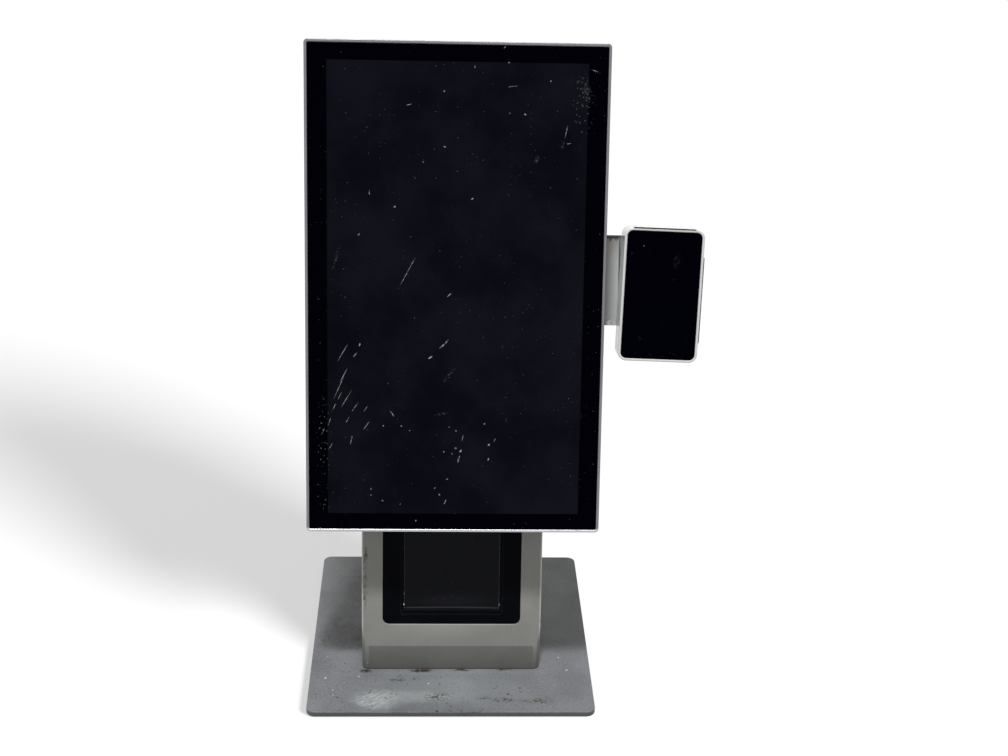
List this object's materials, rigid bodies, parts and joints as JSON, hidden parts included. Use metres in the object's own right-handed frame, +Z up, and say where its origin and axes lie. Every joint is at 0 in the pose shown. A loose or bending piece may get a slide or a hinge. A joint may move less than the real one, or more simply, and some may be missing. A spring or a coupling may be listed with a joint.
{
  "type": "self-service kiosk",
  "caption": "Counter-top self-service kiosk: portrait touch display on a leaning pedestal with a receipt printer, square base plate and a payment terminal on a side bracket.",
  "frame": {"origin": "on the counter surface under the middle of the base plate", "axes": "+X to the customer's right, towards the payment terminal; +Y away from the customer; +Z up"},
  "size_m": [0.4196, 0.315, 0.6916],
  "materials": {
    "plate_paint": "grey satin powder coat on steel plate",
    "pedestal_paint": "silver-grey satin paint on sheet steel",
    "dark_paint": "black powder coat on sheet steel",
    "zinc_steel": "zinc-plated steel",
    "rubber": "black rubber",
    "black_abs": "fine-textured black plastic",
    "aluminium": "satin anodised aluminium",
    "black_glass": "polished cover glass, printed black behind",
    "lcd": "unlit liquid-crystal panel",
    "white_abs": "white moulded plastic",
    "circuit_board": "green solder mask on laminate",
    "brass": "turned brass",
    "nylon": "natural nylon",
    "ceramic_head": "glazed ceramic strip",
    "paper": "white thermal paper",
    "cardboard": "brown cardboard tube",
    "lens": "pale clear plastic lens"
  },
  "bodies": {
    "kiosk": {"base_plate": "plate_paint", "base_pad": "rubber", "base_screws": "zinc_steel", "pedestal_foot": "zinc_steel", "pedestal_shell": "pedestal_paint", "pedestal_rear_cover": "pedestal_paint", "rear_cover_screws": "zinc_steel", "cable_grommet": "rubber", "power_supply": "aluminium", "supply_screws": "zinc_steel", "printer_bezel": "black_abs", "door_hinge_pin": "zinc_steel", "printer_chassis": "black_abs", "chassis_screws": "zinc_steel", "head_bracket": "zinc_steel", "print_head": "ceramic_head", "head_heat_sink": "aluminium", "tear_bar": "zinc_steel", "stepper_motor": "zinc_steel", "paper_hubs": "black_abs", "printer_board": "circuit_board", "printer_standoffs": "brass", "feed_switch": "black_abs", "status_lens": "lens", "display_frame": "aluminium", "cover_glass": "black_glass", "lcd_panel": "lcd", "panel_chassis": "zinc_steel", "main_board": "circuit_board", "board_standoffs": "brass", "heat_sink": "aluminium", "speakers": "black_abs", "display_rear_cover": "dark_paint", "display_cover_screws": "zinc_steel", "power_switch": "black_abs", "display_mount": "dark_paint", "mount_bolts": "zinc_steel", "vesa_screws": "zinc_steel", "terminal_bracket": "pedestal_paint", "bracket_screws": "zinc_steel", "terminal_holder": "black_abs", "holder_screws": "zinc_steel", "terminal_front_bezel": "white_abs", "terminal_glass": "black_glass", "terminal_display": "lcd", "terminal_board": "circuit_board", "terminal_battery": "white_abs", "terminal_back_shell": "white_abs", "swipe_rail": "black_abs"},
    "door": {"printer_door": "black_abs"},
    "platen": {"platen_roller": "rubber", "platen_shaft": "zinc_steel", "platen_gear": "nylon"},
    "motor_drive": {"motor_shaft": "zinc_steel", "motor_pinion": "brass"},
    "roll": {"paper_roll": "paper", "paper_core": "cardboard"},
    "feed_key": {"feed_button": "black_abs"},
    "power_key": {"power_button": "aluminium"},
    "terminal_key": {"terminal_button": "white_abs"}
  },
  "joints": [
    {"name": "door_swing", "type": "hinge", "parent": "kiosk", "child": "door", "pos_m": [0, -0.0634, 0.08369], "axis": [1, 0, 0], "range_deg": [0, 90]},
    {"name": "platen_spin", "type": "hinge", "parent": "door", "child": "platen", "pos_m": [0, -0.03345, 0.15103], "axis": [1, 0, 0], "continuous": true},
    {"name": "motor_spin", "type": "hinge", "parent": "kiosk", "child": "motor_drive", "pos_m": [0, -0.02085, 0.14375], "axis": [1, 0, 0], "continuous": true},
    {"name": "roll_spin", "type": "hinge", "parent": "kiosk", "child": "roll", "pos_m": [0, 0.00606, 0.09759], "axis": [1, 0, 0], "continuous": true},
    {"name": "feed_press", "type": "slide", "parent": "kiosk", "child": "feed_key", "axis": [0, 0.9659, -0.2588], "range_m": [0, 0.001], "stiffness_N_per_m": 400, "springref_m": -0.001},
    {"name": "power_press", "type": "slide", "parent": "kiosk", "child": "power_key", "axis": [0, -0.9659, 0.2588], "range_m": [0, 0.0012], "stiffness_N_per_m": 400, "springref_m": -0.001},
    {"name": "terminal_press", "type": "slide", "parent": "kiosk", "child": "terminal_key", "axis": [-0.9996, 0.0077, 0.0287], "range_m": [0, 0.0008], "stiffness_N_per_m": 400, "springref_m": -0.001}
  ],
  "couplings": [
    {"joint": "motor_spin", "follows": "platen_spin", "ratio": -2}
  ]
}
